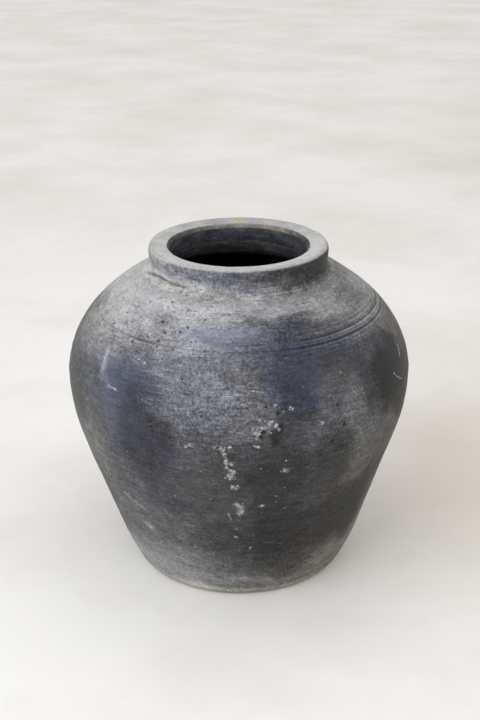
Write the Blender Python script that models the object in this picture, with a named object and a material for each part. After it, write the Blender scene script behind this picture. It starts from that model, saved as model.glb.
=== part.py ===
"""Black clay storage jar, built as its potter builds it.

A round-shouldered jar of reduction-fired clay, 0.30 m across and 0.29 m
high. It is raised in five sections, each one made, left to stiffen and luted
to the one below with slip:

  base_slab      flat foot disc with a rebate cut round its top edge
  lower_wall     flaring wall, standing in the slab's rebate, up to the waist
  belly_wall     widest part, scarfed over the lower wall at the waist
  shoulder_wall  shoulder, scarfed onto the belly, with a seat round its hole
  neck_collar    thick coil thrown into collar and flat rim, lapped and
                 rebated onto the shoulder's seat

Frame: metres, +Z up, origin at the centre of the underside.
"""
import math

import bmesh
import bpy
from mathutils import Matrix, Vector

for old in list(bpy.data.objects):
    bpy.data.objects.remove(old, do_unlink=True)

MM = 0.001

# ---- driving dimensions (mm) ------------------------------------------------
SEGMENTS = 64            # facets round the jar
GAP = 0.3                # slip line left between two sections

FOOT_RADIUS = 93.0       # resting circle of the foot
MAX_RADIUS = 150.0       # widest point of the belly
MAX_HEIGHT = 182.0       # height of the widest point
RIM_HEIGHT = 293.0       # top of the rim
RIM_RADIUS = 76.9        # outside of the rim
MOUTH_RADIUS = 59.0      # inside of the mouth
COLLAR_BASE = 271.0      # height where the shoulder meets the collar

FOOT_BAND = 10.3         # outside height of the base slab
FLOOR = 15.0             # inside floor above the underside
LEDGE = 7.2              # width of the slab's rebate

WAIST_SEAM = 186.0       # outside height of the waist joint
SHOULDER_SEAM = 241.0    # outside height of the shoulder joint
SCARF = 8.0              # how far a scarf climbs from outside to inside

WALL_FOOT = 10.0         # wall thickness at the foot
WALL_BELLY = 8.5         # wall thickness at the belly
WALL_SHOULDER = 9.5      # wall thickness at the shoulder

RIM_ROUND = 3.2          # rounding of the rim's outer edge
RIM_FLAT = 70.4          # the rim is flat from here out to its rounded edge
RIM_DISH = 2.2           # how far it then dips towards the mouth
LIP_BEVEL_DOWN = 3.4     # bevel inside the mouth, downwards
LIP_BEVEL_OUT = 2.3      # and across the rim
SEAT_HEIGHT = 269.6      # seat cut round the shoulder's hole
SEAT_LIP = 274.4         # lip standing up inside the seat
SEAT_LIP_RADIUS = 67.0   # outside of that lip

# Outside of the jar from foot to collar: (height, radius) at the places where
# its curve is gauged. The wall flares almost straight from a rounded foot to
# the waist, turns over at the belly and rolls in to the collar.
GAUGES = (
    (0.0, FOOT_RADIUS),
    (3.0, 96.4),
    (8.0, 99.2),
    (20.0, 104.8),
    (40.0, 112.3),
    (65.0, 120.5),
    (95.0, 130.2),
    (125.0, 139.9),
    (150.0, 146.9),
    (168.0, 149.4),
    (MAX_HEIGHT, MAX_RADIUS),
    (200.0, 147.3),
    (220.0, 139.0),
    (238.0, 126.0),
    (252.0, 111.0),
    (262.0, 97.2),
    (268.5, 85.4),
    (COLLAR_BASE, 79.0),
)


def slopes(pts):
    """Tangent at each gauge point, limited so the curve never overshoots."""
    steps = [(b[1] - a[1]) / (b[0] - a[0]) for a, b in zip(pts, pts[1:])]
    out = [steps[0]]
    for a, b in zip(steps, steps[1:]):
        out.append(0.0 if a * b <= 0.0 else 2.0 * a * b / (a + b))
    out.append(steps[-1])
    return out


SLOPES = slopes(GAUGES)


def outer(z):
    """Outside radius at height z, a smooth curve through the gauges."""
    k = 0
    while k < len(GAUGES) - 2 and z > GAUGES[k + 1][0]:
        k += 1
    (z0, r0), (z1, r1) = GAUGES[k], GAUGES[k + 1]
    h = z1 - z0
    t = (z - z0) / h
    a, b = SLOPES[k], SLOPES[k + 1]
    return ((2 * t**3 - 3 * t**2 + 1) * r0 + (t**3 - 2 * t**2 + t) * h * a
            + (-2 * t**3 + 3 * t**2) * r1 + (t**3 - t**2) * h * b)


def wall(z):
    """Wall thickness at height z."""
    if z < WAIST_SEAM:
        return WALL_FOOT + (WALL_BELLY - WALL_FOOT) * z / WAIST_SEAM
    return WALL_BELLY + (WALL_SHOULDER - WALL_BELLY) * (z - WAIST_SEAM) / (COLLAR_BASE - WAIST_SEAM)


def outside(z):
    return (outer(z), z)


def inside(z):
    """Point on the inner face, one wall thickness in from the outside at z."""
    d = 2.0
    lo, hi = max(z - d, 0.0), min(z + d, COLLAR_BASE)
    dr, dz = outer(hi) - outer(lo), hi - lo
    n = math.hypot(dr, dz)
    t = wall(z)
    return (outer(z) - t * dz / n, z + t * dr / n)


def span(fn, z0, z1, count):
    """count + 1 points of fn from height z0 to z1."""
    return [fn(z0 + (z1 - z0) * k / count) for k in range(count + 1)]


def inside_radius(z):
    """Radius of the inner face at height z."""
    lo, hi = 0.0, COLLAR_BASE
    for _ in range(60):
        mid = 0.5 * (lo + hi)
        if inside(mid)[1] < z:
            lo = mid
        else:
            hi = mid
    return inside(lo)[0]


def inside_station(z):
    """Outside height whose inner point lies at height z."""
    lo, hi = 0.0, COLLAR_BASE
    for _ in range(60):
        mid = 0.5 * (lo + hi)
        if inside(mid)[1] < z:
            lo = mid
        else:
            hi = mid
    return lo


def clay(name, colour, roughness):
    mat = bpy.data.materials.new(name)
    mat.use_nodes = True
    bsdf = mat.node_tree.nodes["Principled BSDF"]
    bsdf.inputs["Base Color"].default_value = (*colour, 1.0)
    bsdf.inputs["Roughness"].default_value = roughness
    bsdf.inputs["Metallic"].default_value = 0.0
    mat.diffuse_color = (*colour, 1.0)
    return mat


def turned(name, profile, material, closed=True):
    """Spin a half-section, listed as (radius, height) in mm, about +Z."""
    bm = bmesh.new()
    verts = [bm.verts.new(Vector((r * MM, 0.0, z * MM))) for r, z in profile]
    edges = [bm.edges.new(pair) for pair in zip(verts, verts[1:])]
    if closed:
        edges.append(bm.edges.new((verts[-1], verts[0])))
    bmesh.ops.spin(bm, geom=verts + edges, cent=(0, 0, 0), axis=(0, 0, 1),
                   dvec=(0, 0, 0), angle=2.0 * math.pi, steps=SEGMENTS,
                   use_merge=True, use_duplicate=False)
    bmesh.ops.remove_doubles(bm, verts=bm.verts, dist=1e-6)
    bmesh.ops.dissolve_degenerate(bm, edges=bm.edges, dist=1e-7)
    bmesh.ops.recalc_face_normals(bm, faces=bm.faces)
    mesh = bpy.data.meshes.new(name)
    bm.to_mesh(mesh)
    bm.free()
    mesh.shade_smooth()
    mesh.set_sharp_from_angle(angle=math.radians(35.0))
    mesh.materials.append(material)
    obj = bpy.data.objects.new(name, mesh)
    bpy.context.scene.collection.objects.link(obj)
    return obj


body_clay = clay("body_clay", (0.085, 0.088, 0.098), 0.72)
foot_clay = clay("foot_clay", (0.130, 0.115, 0.100), 0.80)
rim_clay = clay("rim_clay", (0.205, 0.210, 0.215), 0.66)

# ---- base slab: foot disc with a rebate for the wall -------------------------
ledge_r = outer(FOOT_BAND) - LEDGE
turned("base_slab",
       [(0.0, FLOOR), (ledge_r, FLOOR), (ledge_r, FOOT_BAND), outside(FOOT_BAND)]
       + span(outside, FOOT_BAND - 2.3, 3.0, 2)
       + [outside(1.2), outside(0.0), (0.0, 0.0)],
       foot_clay, closed=False)

# ---- lower wall: stands in the rebate, scarfed at the waist -------------------
foot_top = FOOT_BAND + GAP
floor_station = inside_station(FLOOR + 9.0)
turned("lower_wall",
       span(outside, WAIST_SEAM, foot_top, 11)
       + [(ledge_r + GAP, foot_top), (ledge_r + GAP, FLOOR + 2.0)]
       + span(inside, floor_station, WAIST_SEAM + SCARF, 9),
       body_clay)

# ---- belly wall: scarfed over the lower wall and under the shoulder -----------
lap = 1.5 * GAP
turned("belly_wall",
       span(outside, SHOULDER_SEAM, WAIST_SEAM + lap, 9)
       + span(inside, WAIST_SEAM + SCARF + lap, SHOULDER_SEAM + SCARF, 7),
       body_clay)

# ---- shoulder wall: up to the seat round the neck hole ------------------------
seat_outer = outer(SEAT_HEIGHT) - 0.6
turned("shoulder_wall",
       [(MOUTH_RADIUS + 1.0, SEAT_LIP), (SEAT_LIP_RADIUS, SEAT_LIP),
        (SEAT_LIP_RADIUS, SEAT_HEIGHT), (seat_outer, SEAT_HEIGHT)]
       + span(outside, SEAT_HEIGHT - 1.4, SHOULDER_SEAM + lap, 7)
       + span(inside, SHOULDER_SEAM + SCARF + lap, 266.0, 5)
       + [(MOUTH_RADIUS + 5.0, 262.2), (MOUTH_RADIUS + 1.6, 264.4), (MOUTH_RADIUS + 0.6, 268.0)],
       body_clay)

# ---- neck collar: coil with a flat rim, rebated over the seat lip -------------
top_round = [(RIM_RADIUS - RIM_ROUND * (1.0 - math.sin(a)), RIM_HEIGHT - RIM_ROUND * (1.0 - math.cos(a)))
             for a in (math.radians(90.0 * k / 5) for k in range(6))]
lip = RIM_HEIGHT - RIM_DISH
turned("neck_collar",
       [(MOUTH_RADIUS + LIP_BEVEL_OUT, lip), (RIM_FLAT, RIM_HEIGHT)] + top_round
       + [(RIM_RADIUS - 0.2, 284.0), (RIM_RADIUS - 0.6, 278.0), (RIM_RADIUS - 0.2, 274.6),
          (79.6, COLLAR_BASE + 0.8), (seat_outer, SEAT_HEIGHT + GAP),
          (SEAT_LIP_RADIUS + GAP, SEAT_HEIGHT + GAP), (SEAT_LIP_RADIUS + GAP, SEAT_LIP + GAP),
          (MOUTH_RADIUS + 0.8, SEAT_LIP + GAP), (MOUTH_RADIUS, 279.0),
          (MOUTH_RADIUS - 0.2, lip - LIP_BEVEL_DOWN),
          (MOUTH_RADIUS + 0.7, lip - 0.35 * LIP_BEVEL_DOWN)],
       rim_clay)
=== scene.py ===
"""Looks of the black clay storage pot.

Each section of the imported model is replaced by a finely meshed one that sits
in the same space: turned, then disturbed as hand-built clay is, with its
turning lines, lap seam, grooves, pits, chips, scratches and mineral crust.
Lengths are in millimetres until the meshes are written.
"""
import math

import bmesh
import bpy
import numpy as np
from mathutils import Matrix


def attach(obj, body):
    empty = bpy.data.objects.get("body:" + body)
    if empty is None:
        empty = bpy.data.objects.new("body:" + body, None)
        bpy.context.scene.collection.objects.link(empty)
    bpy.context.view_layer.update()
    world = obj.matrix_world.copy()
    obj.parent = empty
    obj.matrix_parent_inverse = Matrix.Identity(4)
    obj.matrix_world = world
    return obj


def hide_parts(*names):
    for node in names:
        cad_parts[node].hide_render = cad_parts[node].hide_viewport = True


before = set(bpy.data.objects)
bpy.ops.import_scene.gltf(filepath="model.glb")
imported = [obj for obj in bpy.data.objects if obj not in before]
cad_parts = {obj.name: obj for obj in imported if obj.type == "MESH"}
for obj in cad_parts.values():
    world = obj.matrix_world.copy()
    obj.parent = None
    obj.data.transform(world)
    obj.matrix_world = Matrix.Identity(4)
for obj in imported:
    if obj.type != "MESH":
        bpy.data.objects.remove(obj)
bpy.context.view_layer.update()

# ---- design sizes, as in the solids ------------------------------------------
SEGMENTS = 600
FOOT_SEAM, FLOOR, LEDGE = 10.45, 15.0, 7.2
WAIST_SEAM, SHOULDER_SEAM, COLLAR_SEAM, SCARF = 186.2, 241.3, 269.7, 8.0
MOUTH_R, RIM_R, RIM_Z, COLLAR_Z = 59.0, 76.9, 293.0, 271.0
GAUGES = np.array((
    (0.0, 93.0), (3.0, 96.4), (8.0, 99.2), (20.0, 104.8), (40.0, 112.3), (65.0, 120.5),
    (95.0, 130.2), (125.0, 139.9), (150.0, 146.9), (168.0, 149.4), (182.0, 150.0),
    (200.0, 147.3), (220.0, 139.0), (238.0, 126.0), (252.0, 111.0), (262.0, 97.2),
    (268.5, 85.4), (271.0, 79.0)))


def natural_spline(x, y):
    """Second derivatives of the natural cubic through the points."""
    n, h = len(x), np.diff(x)
    m, b = np.zeros((n, n)), np.zeros(n)
    m[0, 0] = m[-1, -1] = 1.0
    for i in range(1, n - 1):
        m[i, i - 1], m[i, i], m[i, i + 1] = h[i - 1], 2 * (h[i - 1] + h[i]), h[i]
        b[i] = 6 * ((y[i + 1] - y[i]) / h[i] - (y[i] - y[i - 1]) / h[i - 1])
    return np.linalg.solve(m, b)


def on_spline(x, y, m, t):
    """Value and slope of that cubic at t."""
    k = np.clip(np.searchsorted(x, t, "right") - 1, 0, len(x) - 2)
    h = x[k + 1] - x[k]
    a, b = (x[k + 1] - t) / h, (t - x[k]) / h
    v = a * y[k] + b * y[k + 1] + ((a**3 - a) * m[k] + (b**3 - b) * m[k + 1]) * h * h / 6
    d = (y[k + 1] - y[k]) / h + ((1 - 3 * a * a) * m[k] + (3 * b * b - 1) * m[k + 1]) * h / 6
    return v, d


GZ, GR = GAUGES[:, 0], GAUGES[:, 1]
GM = natural_spline(GZ, GR)


def outer(z):
    """Outside radius and its slope at height z."""
    return on_spline(GZ, GR, GM, np.clip(np.asarray(z, float), 0.0, COLLAR_Z))


def out_point(z):
    r, d = outer(z)
    n = 1.0 / math.hypot(1.0, d)
    return float(r), float(z), n, -float(d) * n


def wall(z):
    return 10.0 - 1.5 * z / 186.0 if z < 186.0 else 8.5 + (z - 186.0) / 85.0


def in_point(z):
    r, zz, nr, nz = out_point(z)
    return r - wall(z) * nr, zz - wall(z) * nz, -nr, -nz


def in_station(height):
    lo, hi = 0.0, COLLAR_Z
    for _ in range(50):
        mid = 0.5 * (lo + hi)
        if in_point(mid)[1] < height:
            lo = mid
        else:
            hi = mid
    return lo


# ---- smooth random fields -----------------------------------------------------
_rs = np.random.RandomState(20)
_perm = np.tile(_rs.permutation(256), 3)
_grad = _rs.normal(size=(256, 3))
_grad /= np.linalg.norm(_grad, axis=1)[:, None]


def noise(p):
    """Gradient noise at points p (n, 3), about -0.8 to 0.8."""
    i = np.floor(p).astype(np.int64)
    f = p - i
    i &= 255
    u = f * f * f * (f * (f * 6 - 15) + 10)
    out = np.zeros(len(p))
    for dx in (0, 1):
        wx = u[:, 0] if dx else 1 - u[:, 0]
        a = _perm[i[:, 0] + dx]
        for dy in (0, 1):
            wy = wx * (u[:, 1] if dy else 1 - u[:, 1])
            b = _perm[a + i[:, 1] + dy]
            for dz in (0, 1):
                w = wy * (u[:, 2] if dz else 1 - u[:, 2])
                g = _grad[_perm[b + i[:, 2] + dz]]
                out += w * (g * (f - (dx, dy, dz))).sum(1)
    return out


def fbm(p, octaves=4, gain=0.5):
    out, amp = np.zeros(len(p)), 1.0
    for k in range(octaves):
        out += amp * noise(p * 2.03**k + 17.3 * k)
        amp *= gain
    return out


def smooth(lo, hi, x):
    t = np.clip((x - lo) / (hi - lo), 0.0, 1.0)
    return t * t * (3 - 2 * t)


# ---- half-sections --------------------------------------------------------------
# A row is (radius, height, normal r, normal z, zone). Rows run out over the top,
# down the outside, in under the bottom and up the inside.
OUT, COLLAR, RIM, LIP, INNER, JOINT, UNDER = range(7)


def run(z0, z1, step, fine=()):
    """Outside rows from z0 to z1, about step apart along the wall, closer in fine."""
    zs = np.linspace(z0, z1, 1200)
    r, _ = outer(zs)
    h = np.full(len(zs), float(step))
    for lo, hi, s in fine:
        h = np.minimum(h, s + (step - s) * smooth(0, 6.0, np.maximum(lo - zs, zs - hi)))
    ds = np.hypot(np.diff(zs), np.diff(r))
    count = np.concatenate([[0], np.cumsum(ds / (0.5 * (h[1:] + h[:-1])))])
    n = max(2, int(round(count[-1])))
    return [out_point(z) + (OUT,) for z in np.interp(np.linspace(0, count[-1], n + 1), count, zs)]


def inner_run(z0, z1, step):
    n = max(2, int(round(abs(z1 - z0) / step)))
    return [in_point(z) + (INNER,) for z in np.linspace(z0, z1, n + 1)]


def path(points, step, zone):
    """Rows along straight pieces through (radius, height) points."""
    out = []
    for (r0, z0), (r1, z1) in zip(points, points[1:]):
        length = math.hypot(r1 - r0, z1 - z0)
        n = max(1, int(round(length / step)))
        nr, nz = -(z1 - z0) / length, (r1 - r0) / length
        for k in range(n):
            out.append((r0 + (r1 - r0) * k / n, z0 + (z1 - z0) * k / n, nr, nz, zone))
    out.append((*points[-1], nr, nz, zone))
    return out


def curve(points, step, zone):
    """Rows along a smooth curve through (radius, height) points."""
    p = np.array(points, float)
    t = np.concatenate([[0], np.cumsum(np.hypot(*np.diff(p, axis=0).T))])
    mr, mz = natural_spline(t, p[:, 0]), natural_spline(t, p[:, 1])
    n = max(2, int(round(t[-1] / step)))
    out = []
    for s in np.linspace(0, t[-1], n + 1):
        r, dr = on_spline(t, p[:, 0], mr, s)
        z, dz = on_spline(t, p[:, 1], mz, s)
        length = math.hypot(dr, dz)
        out.append((float(r), float(z), -float(dz) / length, float(dr) / length, zone))
    return out


def scarf(z, shift, inward):
    """Rows across a scarf joint at outside height z, shifted up or down a hair."""
    a, b = out_point(z), in_point(z + SCARF)
    pts = [(a[0] + (b[0] - a[0]) * t, a[1] + (b[1] - a[1]) * t + shift) for t in (0.12, 0.5, 0.88)]
    rows = [(*q, 0.0, 0.0, JOINT) for q in pts]
    return rows if inward else rows[::-1]


def joined(*parts):
    """One half-section, without repeated points, and the rows where it turns a corner."""
    rows, corners = [], set()
    for part in parts:
        part = list(part)
        if rows and math.hypot(part[0][0] - rows[-1][0], part[0][1] - rows[-1][1]) < 1e-4:
            if rows[-1][4] == JOINT:
                rows[-1] = part[0]
            part = part[1:]
        corners.add(len(rows) - 1)
        rows += part
    if math.hypot(rows[0][0] - rows[-1][0], rows[0][1] - rows[-1][1]) < 1e-4:
        rows.pop()
    corners.add(0)
    corners.add(len(rows) - 1)
    return rows, {c for c in corners if c >= 0}


LEDGE_R = float(outer(FOOT_SEAM)[0]) - LEDGE
SEAT_R = float(outer(COLLAR_SEAM)[0])
STEP = 1.75

SECTIONS = {
    "base_slab": (joined(
        path([(3.0, FLOOR), (LEDGE_R, FLOOR)], 9.0, INNER),
        path([(LEDGE_R, FLOOR), (LEDGE_R, 10.35), (SEAT_R * 0 + LEDGE_R + 4.0, 10.35)], 3.0, JOINT),
        run(FOOT_SEAM, 1.2, 1.0),
        curve([(float(outer(1.2)[0]), 1.2), (92.6, 0.25), (90.6, 0.0), (87.0, 0.0), (84.0, 0.35),
               (80.0, 0.75), (70.0, 0.9)], 1.2, UNDER),
        path([(70.0, 0.9), (3.0, 1.0)], 4.0, UNDER)), False, "foot_clay"),
    "lower_wall": (joined(
        run(WAIST_SEAM, FOOT_SEAM, STEP, ((0.0, 14.0, 1.1), (181.0, 192.0, 1.2))),
        path([(LEDGE_R + 4.0, 10.6), (LEDGE_R + 0.3, 10.6), (LEDGE_R + 0.3, FLOOR + 2.0)], 3.0, JOINT),
        inner_run(in_station(FLOOR + 9.0), WAIST_SEAM + SCARF, 7.0),
        scarf(WAIST_SEAM, -0.12, False)), True, "body_clay"),
    "belly_wall": (joined(
        run(SHOULDER_SEAM, WAIST_SEAM, STEP, ((181.0, 191.0, 1.2), (236.5, 250.5, 0.55))),
        scarf(WAIST_SEAM, 0.12, True),
        inner_run(WAIST_SEAM + SCARF, SHOULDER_SEAM + SCARF, 5.0),
        scarf(SHOULDER_SEAM, -0.12, False)), True, "body_clay"),
    "shoulder_wall": (joined(
        path([(MOUTH_R + 0.5, 274.6), (67.0, 274.4), (67.0, COLLAR_SEAM - 0.15), (SEAT_R - 4.0, COLLAR_SEAM - 0.15)],
             4.0, JOINT),
        run(COLLAR_SEAM, SHOULDER_SEAM, 1.5, ((236.5, 250.5, 0.55), (268.0, 271.0, 0.6))),
        scarf(SHOULDER_SEAM, 0.12, True),
        inner_run(SHOULDER_SEAM + SCARF, 265.0, 4.0),
        curve([in_point(265.0)[:2], (72.0, 259.6), (64.5, 262.0), (60.8, 264.8), (59.7, 269.0), (MOUTH_R + 0.5, 274.6)],
              2.0, INNER)), True, "shoulder_clay"),
    "neck_collar": (joined(
        curve([(61.6, 291.0), (64.5, 291.7), (68.0, 292.5), (71.0, 292.95), (73.2, 293.0)], 1.0, RIM),
        curve([(73.2, 293.0), (74.9, 292.5), (76.2, 291.3), (76.85, 289.6), (76.95, 287.0), (76.7, 283.0),
               (76.35, 279.0), (76.5, 275.6), (77.9, 273.2), (80.4, 271.3), (SEAT_R, COLLAR_SEAM)], 0.75, COLLAR),
        path([(SEAT_R - 4.0, COLLAR_SEAM + 0.15), (67.3, COLLAR_SEAM + 0.15), (67.3, 274.7), (MOUTH_R + 0.5, 274.62)],
             4.0, JOINT),
        curve([(MOUTH_R + 0.5, 274.62), (MOUTH_R + 0.1, 279.0), (MOUTH_R - 0.2, 284.0), (MOUTH_R, 287.2)], 1.6, INNER),
        curve([(MOUTH_R, 287.2), (MOUTH_R + 0.7, 289.3), (MOUTH_R + 1.6, 290.5), (61.6, 291.0)], 0.7, LIP)),
        True, "rim_clay"),
}


def base_of(rows, k):
    """Radius, height, normal and zone at row position k, on the true curve."""
    a = np.array([row[:4] for row in rows])
    zones = np.array([row[4] for row in rows])
    i = np.clip(np.floor(k + 1e-6).astype(int), 0, len(rows) - 1)
    j = np.minimum(i + 1, len(rows) - 1)
    f = np.clip(k - i, 0, 1)[:, None]
    q = a[i] * (1 - f) + a[j] * f
    zone = np.where(f[:, 0] < 0.5, zones[i], zones[j])
    both = (zones[i] == OUT) & ((zones[j] == OUT) | (f[:, 0] < 1e-3))
    r, d = outer(q[:, 1])
    n = 1 / np.hypot(1, d)
    q[both, 0], q[both, 2], q[both, 3] = r[both], n[both], (-d * n)[both]
    size = np.hypot(q[:, 2], q[:, 3])
    live = size > 0.3
    q[live, 2] /= size[live]
    q[live, 3] /= size[live]
    q[~live, 2:] = 0.0
    return q[:, 0], q[:, 1], q[:, 2], q[:, 3], zone


def surface_point(deg, z):
    """Point of the outside at an angle (0 in front, + to the right) and height."""
    if z > COLLAR_SEAM + 0.3:
        rows = SECTIONS["neck_collar"][0][0]
        rr = np.array([(row[1], row[0]) for row in rows if row[4] == COLLAR])
        r = float(np.interp(-z, -rr[:, 0], rr[:, 1]))
    else:
        r = float(outer(z)[0])
    t = math.radians(deg)
    return np.array((r * math.sin(t), -r * math.cos(t), z))


def near_line(p, pts):
    """Distance from points p to a line through surface points, and how far along."""
    best, along = np.full(len(p), 1e9), np.zeros(len(p))
    q = np.array([surface_point(*s) for s in pts])
    lengths = np.linalg.norm(np.diff(q, axis=0), axis=1)
    total, done = lengths.sum(), 0.0
    for a, b, length in zip(q, q[1:], lengths):
        t = np.clip(((p - a) @ (b - a)) / (length * length), 0, 1)
        d = np.linalg.norm(p - (a + t[:, None] * (b - a)), axis=1)
        closer = d < best
        best[closer], along[closer] = d[closer], ((done + t * length) / total)[closer]
        done += length
    return best, along


# ---- what the clay has been through ----------------------------------------------
# (angle, height, radius, depth), small hollows where grit has burnt or fallen out
PITS = [
    (-52.2, 258.0, 0.9, 0.7), (-55.1, 252.5, 1.0, 0.8), (-57.7, 243.5, 1.2, 0.9), (-30.4, 270.2, 0.9, 0.6),
    (-35.4, 265.6, 1.1, 0.9), (-35.8, 262.6, 0.9, 0.7), (-24.6, 263.1, 1.0, 0.7), (-20.8, 263.1, 0.8, 0.6),
    (-33.9, 254.5, 1.3, 1.0), (-30.4, 248.8, 1.1, 0.9), (-42.5, 238.7, 1.3, 1.0), (-18.6, 222.3, 0.9, 0.8),
    (-27.0, 257.2, 0.8, 0.6), (-21.5, 253.8, 1.2, 1.0), (-23.9, 250.8, 1.1, 0.9), (-26.3, 250.4, 0.8, 0.6),
    (-32.0, 258.6, 0.7, 0.5), (-39.5, 262.2, 0.7, 0.5), (-44.0, 266.0, 0.8, 0.6), (-47.5, 262.5, 0.7, 0.5),
    (-36.9, 244.2, 0.9, 0.7), (-31.5, 243.5, 1.4, 0.8), (-48.8, 249.0, 0.8, 0.6), (-15.0, 258.9, 0.7, 0.5),
    (-24.5, 240.2, 1.2, 0.8), (-16.5, 246.6, 0.8, 0.6), (-10.4, 249.0, 0.7, 0.5), (-62.0, 252.4, 0.8, 0.6),
    (-66.4, 240.6, 0.9, 0.7), (-13.4, 198.4, 0.9, 0.7), (-11.2, 197.6, 1.1, 0.8), (-9.5, 209.0, 0.7, 0.5),
    (-25.0, 214.0, 0.9, 0.6), (2.4, 204.4, 0.9, 0.7), (-17.0, 212.7, 0.7, 0.5), (-27.7, 187.5, 1.3, 0.9),
    (-27.3, 183.2, 1.2, 0.8), (-26.9, 179.4, 1.0, 0.8), (31.5, 198.0, 1.4, 0.8), (33.8, 180.4, 1.9, 1.0),
    (8.2, 204.8, 1.2, 1.0), (7.2, 185.3, 2.4, 1.7), (6.5, 181.3, 1.8, 1.4), (12.0, 184.1, 1.9, 0.8),
    (11.1, 175.6, 3.4, 1.2), (29.4, 168.0, 1.6, 0.8), (11.8, 199.6, 1.7, 1.1), (43.0, 202.0, 1.0, 0.6),
    (-47.0, 156.0, 1.0, 0.6), (-35.0, 140.0, 0.9, 0.6), (20.0, 131.0, 1.2, 0.7), (36.0, 118.0, 1.0, 0.6),
    (-20.0, 96.0, 1.0, 0.6), (44.0, 84.0, 1.2, 0.7), (15.0, 58.0, 1.3, 0.8), (-28.0, 44.0, 1.1, 0.6),
    (24.0, 31.0, 1.3, 0.8), (-10.0, 25.0, 1.2, 0.7), (57.0, 246.0, 0.9, 0.6), (66.0, 232.0, 1.0, 0.7),
]
# (angle, height, radius, height above the clay), grains of pale mineral crust
CRUST = [
    (-7.3, 172.6, 1.0, 0.8), (-5.5, 171.9, 1.4, 1.1), (-4.2, 172.8, 0.9, 0.7), (-2.8, 173.0, 1.1, 0.9),
    (-5.0, 169.2, 0.9, 0.6), (-4.7, 166.6, 1.3, 1.0), (-3.9, 164.0, 0.9, 0.7), (-4.1, 161.1, 1.2, 0.9),
    (-3.8, 158.3, 1.4, 1.1), (-2.3, 157.4, 1.2, 0.9), (-3.6, 153.4, 1.1, 0.8), (-2.4, 151.8, 1.2, 0.8),
    (-1.5, 149.5, 1.1, 0.9), (-2.7, 146.5, 2.5, 1.4), (-1.9, 134.3, 1.9, 0.6), (-0.9, 132.8, 1.5, 0.5), (-0.4, 113.6, 2.2, 0.25), (0.8, 111.8, 1.5, 0.2),
    (0.6, 106.1, 1.8, 0.8), (0.2, 102.2, 1.1, 0.5), (-0.9, 86.7, 1.2, 0.6), (-1.3, 77.1, 1.2, 0.7), (-0.2, 97.0, 1.0, 0.5),
    (14.2, 148.6, 1.7, 0.5), (7.8, 112.4, 1.6, 0.4),
    (6.1, 195.8, 1.1, 0.8), (7.6, 194.2, 0.9, 0.7), (9.1, 192.9, 1.7, 1.2), (10.9, 190.2, 1.3, 1.0),
    (11.7, 187.1, 1.2, 0.9), (6.7, 188.7, 1.5, 1.1), (8.6, 189.6, 1.2, 0.8), (4.9, 185.7, 1.6, 1.2),
    (5.4, 183.2, 1.2, 0.9), (5.2, 180.5, 1.2, 0.9), (9.3, 184.8, 1.0, 0.7), (4.1, 188.2, 0.9, 0.6),
    (1.0, 164.9, 0.8, 0.5), (14.4, 158.0, 1.0, 0.6), (16.1, 201.8, 1.2, 0.8), (11.0, 205.6, 1.1, 0.8),
    (13.3, 200.4, 0.9, 0.6), (25.8, 186.6, 1.1, 0.6), (-14.6, 172.9, 1.3, 0.6), (-16.2, 170.5, 0.8, 0.4),
    (-39.5, 70.9, 2.8, 0.4), (-37.8, 69.9, 1.7, 0.4), (-45.2, 98.2, 1.1, 0.5), (-38.0, 90.6, 1.2, 0.5),
    (-22.0, 118.0, 0.9, 0.5), (12.5, 122.0, 0.9, 0.5), (4.0, 64.0, 1.0, 0.5), (-8.0, 140.0, 0.8, 0.4),
]
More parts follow.
